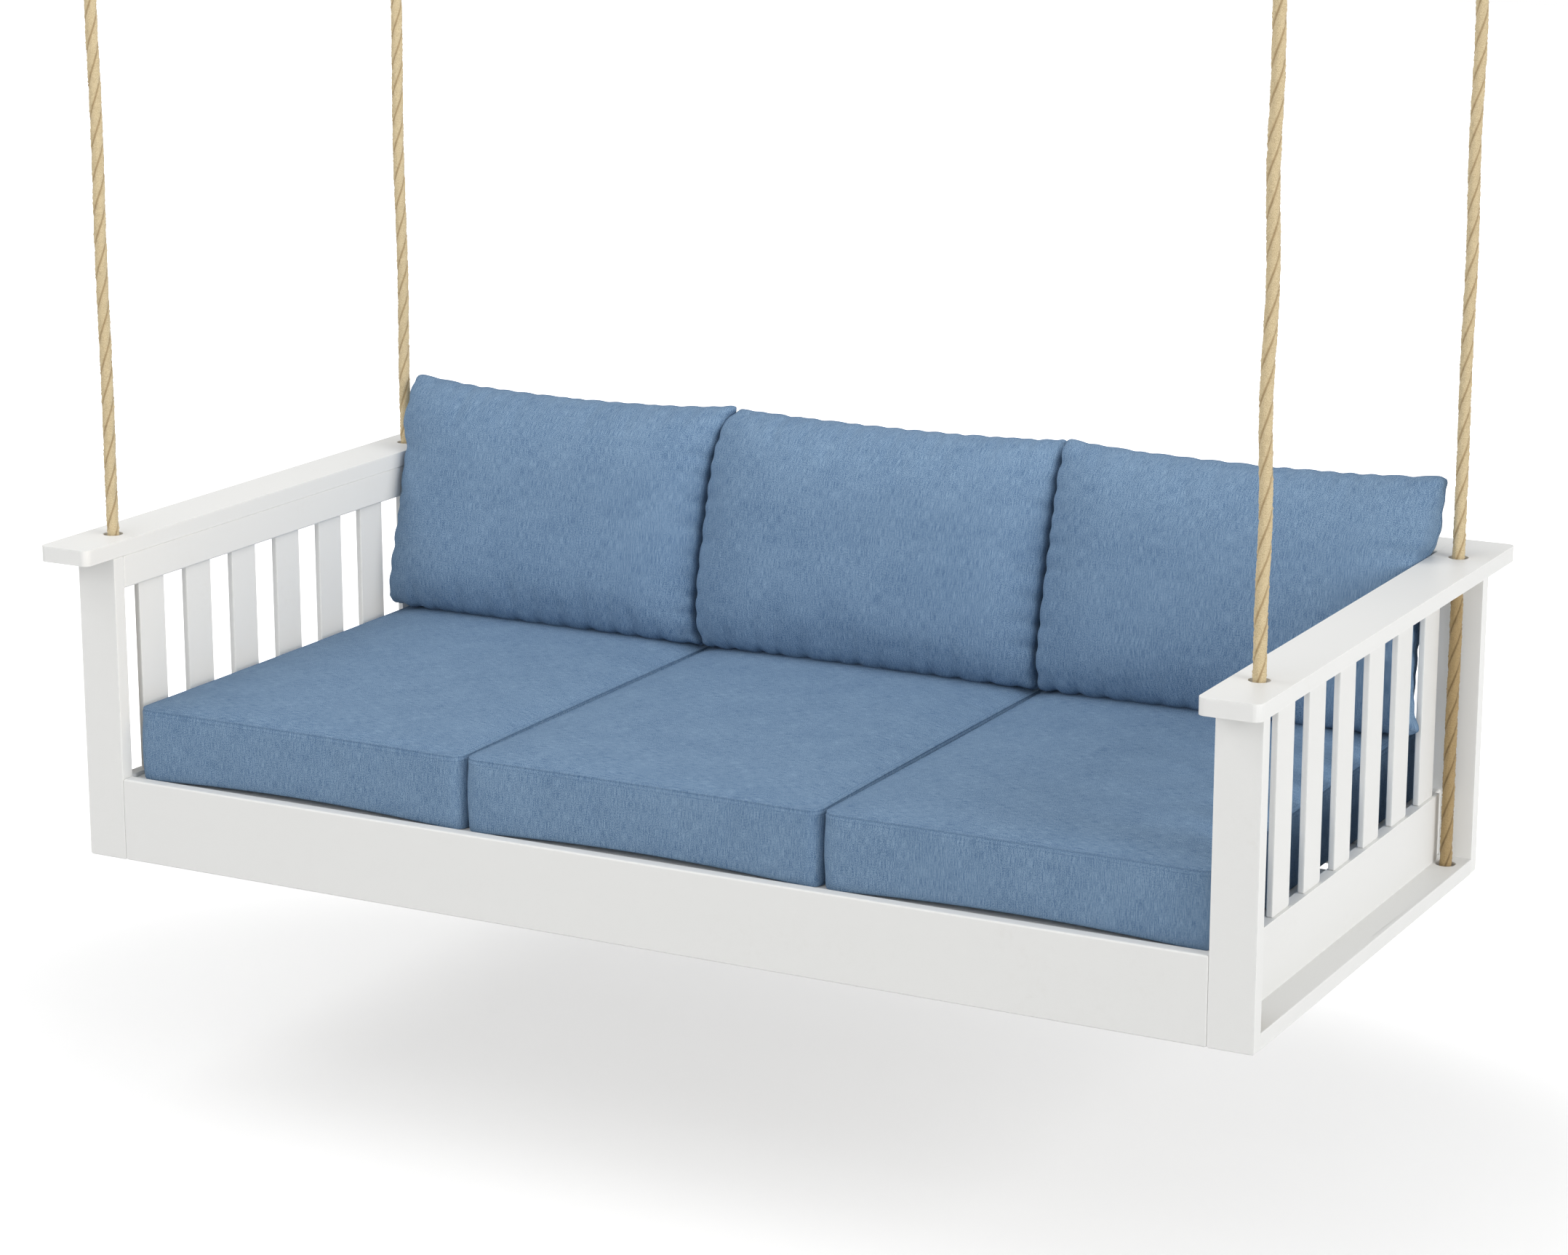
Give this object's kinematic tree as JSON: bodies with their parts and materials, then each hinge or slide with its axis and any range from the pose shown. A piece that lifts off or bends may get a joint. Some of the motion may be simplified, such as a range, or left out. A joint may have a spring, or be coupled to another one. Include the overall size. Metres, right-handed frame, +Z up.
{
  "type": "hanging porch swing daybed",
  "caption": "Slatted white board daybed with box seat cushions and loose back cushions, hung on vertical ropes from flanged ceiling hangers, swinging level to front and back.",
  "frame": {"origin": "centre of the four ceiling studs, in the ceiling plane on which the hanger flanges lie", "axes": "+X along the seat's width, to the right as seen from the front; +Y from the front to the back; +Z up"},
  "size_m": [2.03, 1.088, 1.675],
  "materials": {
    "white_boards": "satin",
    "frame_timber": "satin",
    "cushion_fabric": "matte",
    "rope_fibre": "matte",
    "steel_hangers": "satin",
    "steel_thimbles": "satin",
    "steel_fasteners": "satin"
  },
  "bodies": {
    "hangers": {"ceiling_hangers_front": "steel_hangers", "ceiling_hangers_back": "steel_hangers", "hanger_bolts": "steel_fasteners", "hanger_nuts": "steel_fasteners"},
    "front_ropes": {"rope_upper_front_left": "rope_fibre", "rope_upper_front_right": "rope_fibre", "rope_eyes_front": "rope_fibre", "thimbles_front": "steel_thimbles"},
    "seat": {"front_rail": "white_boards", "post_front_left": "white_boards", "post_front_right": "white_boards", "post_back_left": "white_boards", "post_back_right": "white_boards", "base_board_left": "white_boards", "base_board_right": "white_boards", "side_rail_lower_left": "white_boards", "side_rail_lower_right": "white_boards", "side_rail_upper_left": "white_boards", "side_rail_upper_right": "white_boards", "back_rail_lower": "white_boards", "back_rail_upper": "white_boards", "arm_left": "white_boards", "arm_right": "white_boards", "back_top_board": "white_boards", "back_slats": "white_boards", "side_slat_left_1": "white_boards", "side_slat_left_2": "white_boards", "side_slat_left_3": "white_boards", "side_slat_left_4": "white_boards", "side_slat_left_5": "white_boards", "side_slat_left_6": "white_boards", "side_slat_left_7": "white_boards", "side_slat_right_1": "white_boards", "side_slat_right_2": "white_boards", "side_slat_right_3": "white_boards", "side_slat_right_4": "white_boards", "side_slat_right_5": "white_boards", "side_slat_right_6": "white_boards", "side_slat_right_7": "white_boards", "deck_boards": "white_boards", "deck_cleat_left": "frame_timber", "deck_cleat_right": "frame_timber", "deck_joist_left": "frame_timber", "deck_joist_right": "frame_timber", "seat_cushion_left": "cushion_fabric", "seat_cushion_middle": "cushion_fabric", "seat_cushion_right": "cushion_fabric", "back_cushion_left": "cushion_fabric", "back_cushion_middle": "cushion_fabric", "back_cushion_right": "cushion_fabric", "rope_lower_front_left": "rope_fibre", "rope_lower_front_right": "rope_fibre", "rope_lower_back_left": "rope_fibre", "rope_lower_back_right": "rope_fibre", "rope_stoppers": "steel_fasteners", "wood_screws": "steel_fasteners"},
    "back_ropes": {"rope_upper_back_left": "rope_fibre", "rope_upper_back_right": "rope_fibre", "rope_eyes_back": "rope_fibre", "thimbles_back": "steel_thimbles"}
  },
  "joints": [
    {"name": "front_swing", "type": "hinge", "parent": "hangers", "child": "front_ropes", "pos_m": [0, -0.419, -0.05], "axis": [1, 0, 0], "range_deg": [-15, 15]},
    {"name": "seat_level", "type": "hinge", "parent": "front_ropes", "child": "seat", "pos_m": [0, -0.419, -1.1233], "axis": [1, 0, 0], "range_deg": [-15, 15]},
    {"name": "back_swing", "type": "hinge", "parent": "hangers", "child": "back_ropes", "pos_m": [0, 0.419, -0.05], "axis": [1, 0, 0], "range_deg": [-15, 15]}
  ],
  "couplings": [
    {"joint": "seat_level", "follows": "front_swing", "ratio": -1},
    {"joint": "back_swing", "follows": "front_swing", "ratio": 1}
  ]
}
